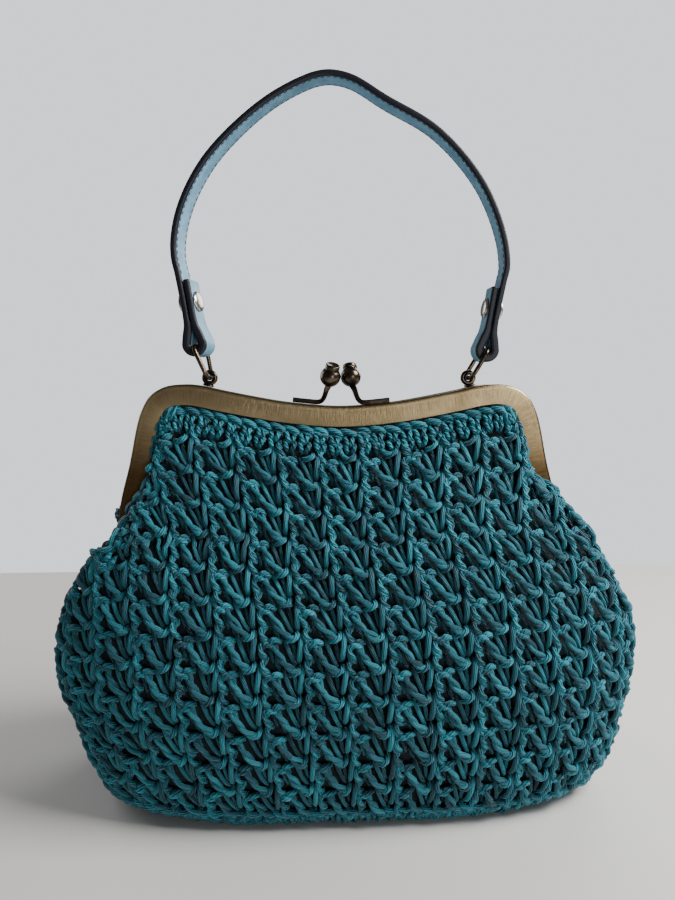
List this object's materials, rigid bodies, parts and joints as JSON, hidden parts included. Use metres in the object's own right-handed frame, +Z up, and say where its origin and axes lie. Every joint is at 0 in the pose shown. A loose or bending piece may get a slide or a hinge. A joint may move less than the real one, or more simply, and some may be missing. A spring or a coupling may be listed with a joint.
{
  "type": "crocheted kiss-lock frame handbag with a short leather handle",
  "caption": "Crocheted handbag on a brass kiss-lock purse frame, with ring posts, long links and a short riveted leather handle.",
  "frame": {"origin": "on the surface the bag stands on, under the middle of the belly", "axes": "+Z up, the front panel faces -Y, +X to the right of a viewer at the front"},
  "size_m": [0.3064, 0.1198, 0.3685],
  "materials": {
    "yarn": "matt plied cotton yarn in an open crochet stitch",
    "frame_brass": "antique brushed brass",
    "bronze": "dark antique bronze, polished on the high spots",
    "leather": "light blue leather with dark painted edges and stitching",
    "rivet_metal": "worn nickel"
  },
  "bodies": {
    "root": {"woven_body": "yarn", "frame_front": "frame_brass", "frame_back": "frame_brass", "hinge_pin_left": "bronze", "hinge_pin_right": "bronze", "clasp_back": "bronze", "clasp_front": "bronze", "ring_post_left": "bronze", "ring_post_right": "bronze", "link_left": "bronze", "link_right": "bronze", "handle_strap": "leather", "handle_rivet_left": "rivet_metal", "handle_rivet_right": "rivet_metal"}
  },
  "joints": []
}
